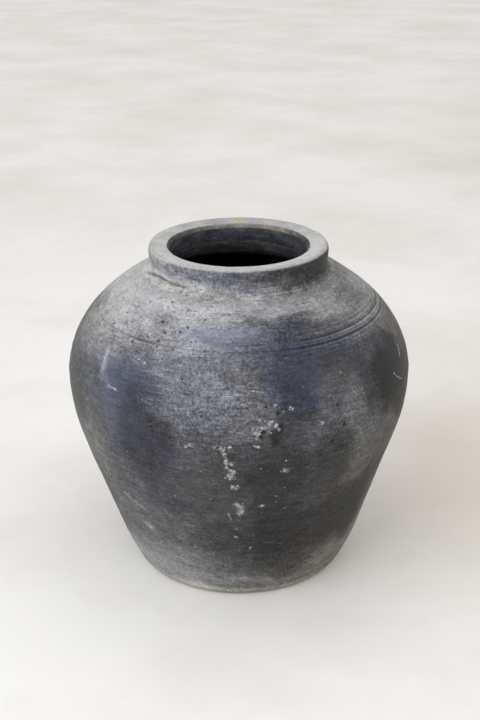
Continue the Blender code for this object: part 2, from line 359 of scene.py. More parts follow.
# (points along the line, half width, depth (negative cuts in), how pale)
LINES = [
    (((-37.3, 229.7), (-34.4, 228.9), (-32.1, 227.9)), 0.7, -0.30, 0.75),
    (((-40.6, 231.8), (-37.3, 229.7)), 0.5, -0.15, 0.45),
    (((-46.2, 206.1), (-45.4, 204.4), (-43.5, 204.1), (-42.0, 204.2), (-40.7, 203.0)), 0.8, 0.28, 0.8),
    (((-53.6, 128.4), (-53.9, 122.0), (-53.5, 115.7)), 1.1, -0.20, 0.75),
    (((-48.6, 101.5), (-44.0, 96.5), (-40.0, 92.4), (-36.3, 88.1)), 1.0, -0.24, 0.85),
    (((-19.6, 62.6), (-17.3, 60.0), (-15.0, 59.6), (-13.2, 61.8)), 0.7, -0.15, 0.32),
    (((-3.7, 105.4), (-3.4, 101.0), (-2.7, 96.7)), 0.6, -0.20, 0.6),
    (((4.0, 174.9), (5.4, 173.3), (6.8, 172.3)), 0.8, 0.30, 0.85),
    (((2.6, 218.0), (5.6, 216.0), (8.4, 215.2)), 0.6, -0.15, 0.5),
    (((71.7, 221.4), (71.0, 214.0), (68.9, 205.9)), 1.0, -0.20, 0.9),
    (((59.7, 203.4), (61.2, 199.5), (62.6, 196.3), (65.0, 192.6), (67.8, 189.2)), 0.7, -0.18, 0.5),
    (((55.1, 263.9), (59.4, 262.7), (63.8, 261.3)), 0.65, -0.16, 1.0),
    (((55.3, 259.8), (57.0, 259.0), (58.8, 258.3)), 0.6, -0.12, 0.9),
    (((47.0, 268.6), (47.8, 265.0)), 0.65, -0.12, 0.9),
    (((44.7, 258.0), (43.4, 257.0), (41.0, 255.6), (38.0, 254.8)), 0.85, 0.25, 1.0),
    (((-11.5, 169.0), (-8.4, 168.0), (-5.2, 166.9)), 0.5, -0.12, 0.35),
    (((28.0, 268.4), (31.5, 267.0), (34.0, 267.2)), 0.6, 0.2, 0.6),
    (((-58.0, 188.0), (-56.5, 181.0), (-55.8, 175.0)), 0.9, -0.15, 0.35),
    (((20.5, 150.0), (27.5, 141.0)), 0.5, -0.12, 0.3),
    (((-24.0, 131.5), (-17.5, 128.0)), 0.5, -0.12, 0.3),
    (((-62.0, 238.5), (-50.0, 233.0), (-39.0, 229.0)), 0.6, -0.10, 0.42),
    (((-58.0, 231.0), (-51.0, 227.0), (-43.0, 224.0)), 0.6, -0.10, 0.40),
    (((-31.0, 227.0), (-25.0, 223.4), (-19.0, 221.5)), 0.6, -0.10, 0.40),
    (((-26.0, 215.0), (-19.0, 211.8), (-11.0, 209.2)), 0.6, -0.10, 0.38),
    (((-21.0, 201.0), (-14.0, 198.6), (-8.0, 195.4)), 0.6, -0.10, 0.38),
    (((-34.5, 204.5), (-29.0, 201.5), (-24.0, 200.0)), 0.6, -0.10, 0.34),
    (((-9.0, 222.8), (-3.0, 220.4), (4.5, 219.6)), 0.6, -0.10, 0.40),
    (((-2.0, 209.0), (3.0, 206.0), (7.0, 204.2)), 0.6, -0.10, 0.34),
    (((-6.5, 189.0), (-1.5, 186.0), (3.4, 184.6)), 0.6, -0.10, 0.40),
    (((33.0, 225.0), (36.0, 218.0), (37.0, 212.0)), 0.6, -0.10, 0.34),
    (((39.0, 176.5), (41.0, 168.0), (41.5, 163.0)), 0.6, -0.12, 0.42),
    (((48.0, 262.0), (51.0, 257.0), (51.5, 254.0)), 0.5, -0.10, 0.42),
    (((-44.0, 60.0), (-36.0, 52.0), (-31.0, 49.0)), 0.6, -0.12, 0.34),
    (((-30.0, 104.0), (-26.0, 92.0), (-25.0, 84.0)), 0.6, -0.10, 0.30),
    (((22.0, 112.0), (29.0, 106.0), (33.0, 104.0)), 0.6, -0.10, 0.30),
    (((8.0, 70.0), (14.0, 66.0), (19.0, 65.0)), 0.6, -0.10, 0.30),
]
# the lap of the collar's clay over the shoulder, left open in front on the left
LAP = ((-80.0, 271.6), (-74.5, 272.5), (-66.0, 274.3), (-55.9, 275.5), (-45.0, 274.5), (-36.6, 274.6), (-31.0, 274.2))
LAP_TAIL = ((-35.5, 273.6), (-35.0, 272.0), (-35.6, 270.2))
LAP_RIGHT = ((8.0, 270.9), (14.0, 271.4), (24.0, 271.6), (34.0, 271.4), (43.0, 271.0))

rng = np.random.RandomState(7)
for _ in range(95):      # fine pinholes, thickest on the left of the shoulder
    PITS.append((float(rng.normal(-30, 24)), float(rng.uniform(234, 268.5)), float(rng.uniform(0.45, 0.75)),
                 float(rng.uniform(0.3, 0.6))))
for _ in range(150):     # and scattered over the rest
    PITS.append((float(rng.uniform(-180, 180)), float(rng.uniform(16, 266)), float(rng.uniform(0.5, 1.1)),
                 float(rng.uniform(0.3, 0.7))))
for _ in range(26):      # specks of crust round the sides and back
    PITS.append((float(rng.uniform(70, 290)), float(rng.uniform(30, 262)), float(rng.uniform(1.0, 1.7)),
                 float(rng.uniform(0.6, 1.0))))
    CRUST.append((float(rng.uniform(75, 285)), float(rng.uniform(40, 240)), float(rng.uniform(0.7, 1.3)),
                  float(rng.uniform(0.4, 0.9))))
for k in range(17):      # a second run of crust down the back
    CRUST.append((163.0 + 2.2 * math.sin(0.9 * k) + 0.4 * k, 214.0 - 6.4 * k, float(rng.uniform(0.8, 1.5)),
                  float(rng.uniform(0.5, 1.0))))
for _ in range(22):      # light scratches from handling, all round
    d, h = float(rng.uniform(80, 280)), float(rng.uniform(45, 250))
    a, n = rng.uniform(0, math.pi), float(rng.uniform(7, 22))
    LINES.append((((d, h), (d + 0.5 * n * math.cos(a) * 0.45 + 1.2, h + 0.5 * n * math.sin(a)),
                   (d + n * math.cos(a) * 0.45, h + n * math.sin(a))), float(rng.uniform(0.45, 0.8)),
                  -0.15, float(rng.uniform(0.3, 0.6))))

crumb_rng = np.random.RandomState(11)
for a, h, r, up in list(CRUST):      # each grain has smaller ones fallen round it
    for _ in range(3 if r > 1.0 else 2):
        turn, away = crumb_rng.uniform(0, 2 * math.pi), r * crumb_rng.uniform(0.9, 2.0)
        CRUST.append((a + math.degrees(away * math.cos(turn) / float(outer(h)[0])), h + away * math.sin(turn),
                      float(r * crumb_rng.uniform(0.35, 0.65)), float(up * crumb_rng.uniform(0.3, 0.7))))
CRUST = [(a, h, r * 0.96, up * 0.9) for a, h, r, up in CRUST]
DOTS = [(q[0], q[1], q[2]) for q in PITS + CRUST]


def close_dots(p, items, reach):
    """For each of items, the indices of points within reach radii of it, and their distance."""
    for item in items:
        c = surface_point(item[0], item[1])
        near = np.nonzero(np.abs(p[:, 2] - c[2]) < reach * item[2] + 0.5)[0]
        d = np.linalg.norm(p[near] - c, axis=1)
        ok = d < reach * item[2]
        yield item, near[ok], d[ok]


# ---- shape: slow unevenness shared by all pieces, then what the hand left ---------
def unevenness(p):
    """Sideways shift, radial shift and lift shared by everything at the same angle and height."""
    theta = np.arctan2(p[:, 0], -p[:, 1])
    z = p[:, 2]
    q = np.stack([130 * np.sin(theta), -130 * np.cos(theta), z], 1)
    dx = np.interp(z, (0, 20, 60, 110, 150, 190, 290), (0.4, 0.5, 0.0, -0.6, -0.2, -0.1, 0.0))
    rim = smooth(258, 274, z)
    dr = 0.75 * noise(q / 92.0 + 3.1) * (1 - 0.45 * rim) + 0.3 * rim * noise(q / 40.0)
    foot = 1 - smooth(0.0, 16.0, z)
    dz = 0.75 * (-np.cos(theta)) * rim + 0.12 * rim * np.sin(3 * theta + 1.0)
    return theta, dx, dr * (1 - 0.5 * foot), dz


def groove(z, at, width, depth):
    return -depth * np.exp(-((z - at) / width) ** 2)


def hand_marks(p, theta, zone):
    """Displacement along the wall's normal."""
    z, deg = p[:, 2], np.degrees(theta)
    out = (zone == OUT) | (zone == COLLAR)
    d = np.zeros(len(p))
    ring = np.stack([1.9 * np.sin(theta), -1.9 * np.cos(theta), z / 2.6], 1)
    broad = np.stack([2.6 * np.sin(theta), -2.6 * np.cos(theta), z / 9.0], 1)
    turn = 0.13 * noise(ring * (1, 1, 1) + 5.0) + 0.20 * noise(broad + 9.0)
    lumps = 0.26 * fbm(p / 34.0 + 2.0, 3) + 0.09 * fbm(p / 7.5, 2)
    grain = 0.075 * noise(p / 2.9 + 7.0)
    edge = smooth(0.0, 5.0, z)
    body = (turn + lumps) * edge + grain
    d += np.where(zone == OUT, body, 0)
    d += np.where(zone == COLLAR, 0.5 * turn + 0.5 * lumps + 0.7 * grain, 0)
    d += np.where((zone == RIM), 0.35 * lumps + 0.5 * grain, 0)
    d += np.where(zone == LIP, 0.25 * lumps + 0.5 * grain, 0)
    d += np.where(zone == UNDER, 0.25 * grain, 0)
    # inside, the finger rings are broad and plain
    inside = 0.55 * np.sin(z / 3.1 + 0.7 * noise(broad) * 4) + 1.2 * lumps
    d += np.where(zone == INNER, inside * smooth(FLOOR + 1, FLOOR + 14, z) * (1 - smooth(264, 272, z)) + 0.6 * grain + 0.2 * turn, 0)
    # waist: the ridge where the two halves were luted together
    vary = 0.7 + 0.5 * noise(np.stack([3 * np.sin(theta), 3 * np.cos(theta), 0 * z], 1))
    d += np.where(zone == OUT, 0.34 * vary * np.exp(-((z - 186.6) / 3.4) ** 2) - 0.14 * np.exp(-((z - 181.0) / 2.2) ** 2), 0)
    # shoulder: turned grooves, plainest on the right and fading over the middle
    wander = 0.55 * noise(np.stack([1.6 * np.sin(theta), 1.6 * np.cos(theta), 0 * z + 4], 1))
    right = smooth(12, 38, deg) * (1 - smooth(100, 150, deg))
    back = 0.55 * np.clip(smooth(100, 150, np.abs(deg)), 0, 1)
    weak = 0.16
    left = 0.9 * smooth(-50, -42, deg) * (1 - smooth(-34, -24, deg))
    far_left = 0.35 * (1 - smooth(-120, -85, deg))
    k1 = np.clip(weak + right + back + left + far_left, 0, 1.1)
    k2 = np.clip(0.10 + right + 0.8 * back, 0, 1)
    zz = z - wander
    lines = (groove(zz, 241.3, 0.5, 0.36) * k1 + groove(zz, 245.4, 0.45, 0.27) * k2 + groove(zz, 248.6, 0.45, 0.16) * k2
             + groove(zz, 243.2, 0.4, 0.16) * k2 + groove(zz, 247.1, 0.4, 0.12) * k2
             + 0.14 * k1 * np.exp(-((zz - 240.1) / 0.6) ** 2) + 0.12 * k2 * np.exp(-((zz - 244.3) / 0.5) ** 2)
             + groove(zz, 232.2, 1.0, 0.16) * (0.4 + right) + groove(zz, 224.4, 1.2, 0.14) * (0.3 + right))
    d += np.where(zone == OUT, lines, 0)
    # foot: the slab's edge shows as a faint step
    foot = -0.20 * np.exp(-((z - 10.4) / 0.8) ** 2) * (0.5 + 0.9 * np.clip(noise(p / 22.0 + 31), -0.4, 0.6))
    d += np.where(zone == OUT, foot, 0)
    # the open lap under the collar on the left
    near = out & (z > 262) & (deg > -100) & (deg < 60)
    idx = np.nonzero(near)[0]
    if len(idx):
        dist, along = near_line(p[idx], LAP)
        zline = np.interp(deg[idx], [a for a, _ in LAP], [b for _, b in LAP])
        ends = smooth(0.0, 0.12, along) * (1 - smooth(0.86, 1.0, along))
        span = smooth(-84, -70, deg[idx]) * (1 - smooth(-37, -27, deg[idx]))
        above = z[idx] - zline
        d[idx] += -1.15 * np.exp(-(dist / 0.85) ** 2) * ends
        d[idx] += 0.75 * span * np.exp(-((above - 2.3) / 1.9) ** 2)
        dist, _ = near_line(p[idx], LAP_TAIL)
        d[idx] += -0.22 * np.exp(-(dist / 0.7) ** 2)
        dist, along = near_line(p[idx], LAP_RIGHT)
        side = smooth(8, 16, deg[idx]) * (1 - smooth(36, 46, deg[idx]))
        zr = np.interp(deg[idx], [a for a, _ in LAP_RIGHT], [b for _, b in LAP_RIGHT])
        d[idx] += side * (0.24 * np.exp(-((z[idx] - zr - 0.6) / 0.8) ** 2) - 0.22 * np.exp(-((z[idx] - zr + 0.8) / 0.7) ** 2))
    # small things
    keep = np.nonzero(out)[0]
    q = p[keep]
    for (a, h, r, depth), i, dist in close_dots(q, PITS, 2.3):
        t = dist / r
        d[keep[i]] += -depth * np.exp(-t**4) + 0.12 * depth * np.exp(-((t - 1.35) / 0.35) ** 2)
    for (a, h, r, up), i, dist in close_dots(q, CRUST, 2.6):
        rough = 1 + 0.9 * noise(q[i] / 1.1)
        t = dist / (r * (1 + 0.45 * noise(q[i] / 1.7 + 9)))
        d[keep[i]] += up * np.exp(-t**3) * rough * 0.8
    for pts, half, depth, pale in LINES:
        zs = [b for _, b in pts]
        band = np.nonzero((q[:, 2] > min(zs) - 5) & (q[:, 2] < max(zs) + 5))[0]
        if len(band) == 0:
            continue
        dist, along = near_line(q[band], pts)
        taper = smooth(0, 0.15, along) * (1 - 0.7 * smooth(0.7, 1, along))
        d[keep[band]] += depth * np.exp(-(dist / half) ** 2) * taper * (0.75 + 0.5 * noise(q[band] / 2.0))
    # the foot's edge: a notch and small chips
    low = np.nonzero((zone == OUT) & (z < 22))[0]
    for a, h, rx, rz, depth in ((-32.9, 12.4, 4.0, 1.1, 0.8), (29.8, 11.6, 3.0, 1.6, 0.6), (38.2, 13.0, 2.6, 1.5, 0.6),
                                (8.0, 2.2, 4.5, 2.6, 0.8), (-12.0, 2.0, 3.5, 2.2, 0.6), (72.0, 3.0, 5.0, 2.8, 0.9),
                                (-66.0, 3.0, 4.0, 2.4, 0.7), (140.0, 2.6, 6.0, 3.2, 1.0), (-120.0, 3.0, 4.5, 2.6, 0.8)):
        c = surface_point(a, h)
        e = p[low] - c
        along = e @ np.array((math.cos(math.radians(a)), math.sin(math.radians(a)), 0.0))
        m = np.exp(-((along / rx) ** 2 + (e[:, 2] / rz) ** 2)) * (np.abs(((deg[low] - a + 180) % 360) - 180) < 30)
        d[low] += -depth * m
    # nicks along the rim's outer edge and the mouth
    top = np.nonzero((zone == COLLAR) & (z > 288) | (zone == RIM) | (zone == LIP))[0]
    for a, r, size, depth in ((-48.0, 75.6, 3.4, 0.55), (-62.0, 62.0, 2.4, 0.35), (24.0, 75.9, 2.2, 0.35),
                              (-8.0, 61.0, 1.8, 0.35), (-4.6, 60.8, 1.4, 0.35), (118.0, 75.6, 4.0, 0.7),
                              (200.0, 62.0, 3.0, 0.4), (71.0, 61.2, 2.6, 0.4), (160.0, 75.8, 2.6, 0.4)):
        c = np.array((r * math.sin(math.radians(a)), -r * math.cos(math.radians(a)), 292.0))
        e = np.linalg.norm((p[top] - c) * (1, 1, 0.6), axis=1)
        d[top] += -depth * np.exp(-(e / size) ** 2)
    # a thin raised line just inside the rim's edge on the right
    rr = np.hypot(p[:, 0], p[:, 1])
    d += np.where(zone == RIM, 0.16 * np.exp(-((rr - 72.4) / 0.7) ** 2) * smooth(20, 45, deg) * (1 - smooth(105, 130, deg)), 0)
    return d


# ---- colour of the clay ------------------------------------------------------------
_s = np.linspace(0, COLLAR_Z, 600)
_len = np.concatenate([[0], np.cumsum(np.hypot(np.diff(_s), np.diff(outer(_s)[0])))])


def along_wall(z):
    return np.interp(z, _s, _len)


# (angle, height, half width, half height, lean in degrees, tone reached, strength), laid
# in this order: the kiln's smoke and ash, wide ones first, with painted sheen on the shoulder and painted shadow in one
# dent among them. 0 is black, 1 is pale ash.
CLOUDS = [
    # dusty foot, and the wall above it
    (-45, 20, 64, 27, 0, 0.77, 0.95), (-40, 40, 42, 14, 0, 0.68, 0.7), (0, 16, 34, 15, 0, 0.68, 0.9),
    (45, 18, 54, 26, 0, 0.58, 0.85), (66, 44, 26, 30, 0, 0.57, 0.8), (0, 3, 150, 7.5, 0, 0.74, 0.9), (-24, 6, 24, 7, 0, 0.93, 0.9),
    (58, 3, 40, 7, 0, 0.60, 0.8), (-50, 76, 48, 34, 0, 0.49, 0.9), (-64, 96, 14, 22, 0, 0.38, 0.7),
    (72, 96, 16, 60, 0, 0.52, 0.9), (62, 80, 14, 34, 0, 0.48, 0.7),
    (16, 80, 36, 42, 0, 0.12, 0.95), (-7, 78, 20, 26, 0, 0.25, 0.85), (51, 84, 15, 30, 0, 0.06, 0.95),
    (34, 84, 18, 26, 0, 0.22, 0.8), (30, 108, 26, 12, 0, 0.28, 0.7), (22, 42, 22, 12, 0, 0.26, 0.8),
    (36, 110, 16, 12, 0, 0.42, 0.7), (4, 14, 15, 8, 0, 0.54, 0.7),
    # middle of the wall
    (-16, 118, 40, 26, 0, 0.33, 0.9), (-9, 140, 30, 30, 0, 0.34, 0.8), (-31, 158, 24, 30, 0, 0.23, 0.95),
    (12, 142, 36, 34, 0, 0.18, 0.95), (44, 146, 24, 24, 0, 0.45, 0.9), (58, 140, 20, 24, 0, 0.40, 0.8),
    (-62, 146, 30, 30, 0, 0.56, 0.85), (-54, 122, 16, 22, 0, 0.52, 0.7), (-43, 124, 14, 22, 0, 0.42, 0.7),
    (74, 148, 12, 40, 0, 0.46, 0.7), (4, 168, 30, 12, 0, 0.30, 0.8),
    # belly: speckled grey in the middle, a fire cloud each side of it, a black one at the right
    (-66, 190, 26, 26, 0, 0.41, 0.85), (-50, 206, 20, 22, 0, 0.46, 0.8), (-33, 192, 20, 28, 0, 0.30, 0.95),
    (-26, 180, 18, 16, 0, 0.25, 0.85), (-12, 214, 36, 26, 0, 0.57, 0.95), (-2, 194, 28, 18, 0, 0.51, 0.85),
    (-10, 178, 18, 10, 0, 0.40, 0.7), (18, 204, 15, 30, 0, 0.26, 0.95), (36, 186, 18, 24, 0, 0.49, 0.9),
    (30, 206, 14, 12, 0, 0.43, 0.8), (43, 168, 16, 14, 0, 0.46, 0.8), (47, 212, 14, 22, 0, 0.27, 0.9),
    (57, 199, 19, 22, 0, 0.00, 1.0), (65, 190, 17, 24, 0, 0.08, 0.95), (64, 218, 18, 14, 0, 0.20, 0.9),
    (78, 184, 14, 44, 0, 0.28, 0.85),
    # shoulder, paled by ash and partly by painted sheen of the window, most on the left, with the smoke lying over its
    # right front
    (-64, 230, 50, 15, 0, 0.66, 0.95), (-38, 220, 14, 9, 0, 0.43, 0.8), (-20, 229, 36, 10, 0, 0.60, 0.85),
    (22, 232, 27, 20, 0, 0.31, 0.95), (38, 232, 20, 16, 0, 0.30, 0.9), (58, 232, 16, 8, 0, 0.33, 0.8),
    (-60, 243, 60, 12, 0, 0.77, 0.95), (-22, 243, 36, 10, 0, 0.71, 0.9), (-37, 241, 9, 9, 0, 0.62, 0.7),
    (66, 246, 26, 12, 0, 0.58, 0.9), (76, 232, 12, 16, 0, 0.50, 0.7), (-60, 260, 66, 20, 0, 0.90, 1.0),
    (-46, 254, 34, 12, 0, 0.82, 0.7), (-18, 257, 34, 13, 0, 0.86, 0.95), (-14, 266, 40, 8, 0, 0.94, 0.9),
    (-35, 254, 8, 9, 0, 0.70, 0.8), (0, 254, 14, 8, 0, 0.66, 0.8), (22, 249, 27, 13, 0, 0.33, 0.98),
    (26, 240, 26, 10, 0, 0.29, 0.8), (8, 264, 22, 7, 0, 0.74, 0.9), (32, 265, 26, 7, 0, 0.73, 0.95),
    (50, 259, 22, 12, 0, 0.73, 0.95), (68, 258, 22, 14, 0, 0.59, 0.9), (88, 262, 20, 12, 0, 0.72, 0.7),
    # the first on this line, (-8, 251), lightens the band across the shoulder's front: partly pale clay, partly painted
    # sheen of the sky
    (-8, 251, 30, 6, 3, 0.68, 0.85), (-5, 236, 15, 5, 0, 0.62, 0.6), (6, 246, 14, 8, 0, 0.56, 0.8),
    (21, 29, 17, 10, 0, 0.32, 0.8), (38, 84, 22, 34, 0, 0.12, 0.85), (55, 267, 34, 4, 0, 0.78, 0.8),
    (-34, 48, 40, 12, 0, 0.66, 0.6), (53, 84, 14, 40, 0, 0.06, 0.8), (56, 214, 16, 12, 0, 0.08, 0.8),
    (64, 174, 12, 14, 0, 0.10, 0.8), (-66, 182, 16, 24, 0, 0.34, 0.6), (-9, 214, 12, 10, 0, 0.66, 0.6),
    (-18, 242, 14, 6, 0, 0.82, 0.6), (-68, 251, 20, 6, 0, 0.92, 0.6), (37, 257, 12, 5, 0, 0.68, 0.7),
    (80, 197, 26, 9, 0, 0.22, 0.8), (66, 204, 16, 30, 0, 0.02, 0.7), (66, 236, 14, 6, 0, 0.38, 0.6),
    (47, 196, 8, 14, 0, 0.22, 0.7), (44, 226, 14, 8, 0, 0.28, 0.6), (36, 168, 14, 10, 0, 0.52, 0.7),
    (100, 190, 30, 16, 8, 0.30, 0.7), (60, 110, 14, 20, 0, 0.24, 0.6), (72, 176, 14, 30, 0, 0.20, 0.7),
    (33, 263, 30, 6, 0, 0.80, 0.8), (31, 148, 18, 34, 0, 0.20, 0.85), (50, 84, 18, 34, 0, 0.10, 0.85),
    # the last two on this line, at (12.5, 184.5) and (11, 177), are painted shadow in the dent beside the crust
    (58, 219, 16, 9, 0, 0.10, 0.8), (12.5, 184.5, 6, 4, 40, 0.06, 0.95), (11, 177, 5, 7, 0, 0.14, 0.8),
    # sides and back, guessed in the same manner
    (100, 256, 46, 20, 0, 0.72, 0.9), (140, 260, 50, 18, 0, 0.82, 0.9), (180, 262, 50, 14, 0, 0.86, 0.95),
    (-105, 258, 50, 22, 0, 0.88, 0.95), (-145, 254, 44, 20, 0, 0.76, 0.9), (112, 226, 40, 24, 6, 0.38, 0.9),
    (150, 220, 44, 22, -6, 0.52, 0.85), (186, 210, 36, 34, 10, 0.30, 0.9), (-140, 214, 40, 26, -8, 0.44, 0.9),
    (-105, 208, 34, 30, 0, 0.56, 0.8), (104, 186, 34, 26, 0, 0.46, 0.8), (138, 180, 30, 36, 12, 0.26, 0.9),
    (170, 160, 40, 28, 0, 0.50, 0.8), (-150, 170, 36, 34, 0, 0.28, 0.85), (-112, 150, 34, 34, 0, 0.38, 0.8),
    (110, 120, 40, 34, 0, 0.36, 0.8), (150, 104, 38, 30, 0, 0.42, 0.8), (190, 96, 34, 36, 0, 0.30, 0.8),
    (-138, 96, 40, 34, 0, 0.46, 0.8), (-100, 80, 34, 34, 0, 0.34, 0.7), (104, 50, 40, 26, 0, 0.44, 0.8),
    (150, 40, 40, 24, 0, 0.34, 0.8), (196, 40, 40, 24, 0, 0.46, 0.8), (-130, 40, 44, 24, 0, 0.40, 0.8),
    (-92, 30, 34, 18, 0, 0.52, 0.8), (180, 5, 120, 6, 0, 0.52, 0.85), (100, 5, 60, 6, 0, 0.50, 0.85),
    (-110, 5, 60, 6, 0, 0.56, 0.85),
]
# the same, for how speckled and for how blue (above 0) or brown (below 0) the clay is; the blue across the shoulder's
# front is painted reflection of the sky
SPECKLED = [
    (0, 3, 200, 8, 0, 1.0, 0.9),
    (-30, 246, 60, 30, 0, 0.75, 0.9), (10, 252, 50, 14, 0, 0.95, 0.9), (-8, 206, 46, 34, 0, 1.0, 1.0),
    (-40, 190, 30, 34, 0, 0.18, 0.95), (30, 222, 34, 22, 0, 0.22, 0.9), (36, 184, 30, 30, 0, 0.8, 0.8),
    (64, 206, 22, 26, 0, 0.35, 0.8), (0, 130, 70, 30, 0, 0.35, 0.8), (-50, 120, 40, 44, 0, 0.6, 0.8),
    (-7, 250, 34, 8, 0, 0.35, 0.95), (-62, 262, 40, 18, 0, 0.30, 0.8), (0, 60, 90, 30, 0, 0.5, 0.7),
    (150, 230, 60, 30, 0, 0.9, 0.8), (180, 120, 90, 40, 0, 0.4, 0.7), (-120, 210, 60, 40, 0, 0.9, 0.8),
]
TINTS = [
    (0, 262, 200, 30, 0, 0.10, 0.9), (-4, 205, 120, 62, 0, 0.30, 0.9), (-38, 206, 26, 26, 0, 1.02, 0.95), (-32, 162, 34, 34, 0, 0.58, 0.9), (-56, 204, 20, 24, 0, 0.48, 0.8),
    # (2, 246), (-8, 250) and, on the next line, (18, 252): blue painted as the sky's reflection on the shoulder's front
    (-15, 208, 26, 28, 0, 0.36, 0.8), (2, 246, 20, 12, 0, 0.55, 0.9), (19, 222, 21, 28, 0, 1.40, 0.95), (-8, 250, 28, 7, 0, 0.62, 0.9),
    (18, 252, 18, 10, 0, 0.75, 0.9), (34, 238, 20, 14, 0, 0.6, 0.85), (50, 226, 24, 24, 0, 0.50, 0.8),
    (14, 164, 26, 16, 0, 0.25, 0.7), (-6, 120, 50, 40, 0, 0.18, 0.7), (-40, 244, 30, 12, 0, 0.20, 0.7),
    (42, 44, 60, 44, 0, -0.32, 0.9), (76, 120, 26, 100, 0, -0.36, 0.9), (40, 120, 30, 40, 0, -0.26, 0.7), (56, 4, 56, 7, 0, -0.45, 0.85), (-8, 3, 66, 6, 0, -0.34, 0.8),
    (58, 8, 30, 10, 0, -0.45, 0.7), (180, 5, 120, 6, 0, -0.25, 0.8), (-34, 110, 40, 26, 0, 0.30, 0.7), (-70, 214, 14, 14, 0, 0.32, 0.8),
    (140, 200, 60, 40, 0, 0.5, 0.8), (-150, 180, 44, 44, 0, 0.6, 0.8), (120, 60, 60, 50, 0, -0.2, 0.8),
    (186, 212, 34, 30, 0, 0.6, 0.8),
]


def laid(p, theta, base, clouds, soft=0.52):
    """Clouds laid one over another, their edges broken by noise."""
    deg, z = np.degrees(theta), p[:, 2]
    r = outer(z)[0]
    s = along_wall(z)
    warp_u = 9.0 * fbm(p / 26.0 + 11, 3, 0.6)
    warp_v = 6.0 * fbm(p / 22.0 + 41, 3, 0.6)
    rag = 0.22 * fbm(p / 8.5 + 71, 3, 0.7)
    out = np.full(len(p), float(base))
    for a, h, hu, hv, lean, value, strength in clouds:
        da = (deg - a + 180) % 360 - 180
        near = np.nonzero(np.abs(da) < math.degrees((hu + hv + 40) / 80))[0]
        u = np.radians(da[near]) * r[near] + warp_u[near]
        v = s[near] - along_wall(h) + warp_v[near]
        c, sn = math.cos(math.radians(lean)), math.sin(math.radians(lean))
        uu, vv = (u * c + v * sn) / hu, (-u * sn + v * c) / hv
        d = np.sqrt(uu * uu + vv * vv) + rag[near]
        m = strength * (1 - smooth(1 - soft, 1 + soft, d))
        out[near] += (value - out[near]) * m
    return out


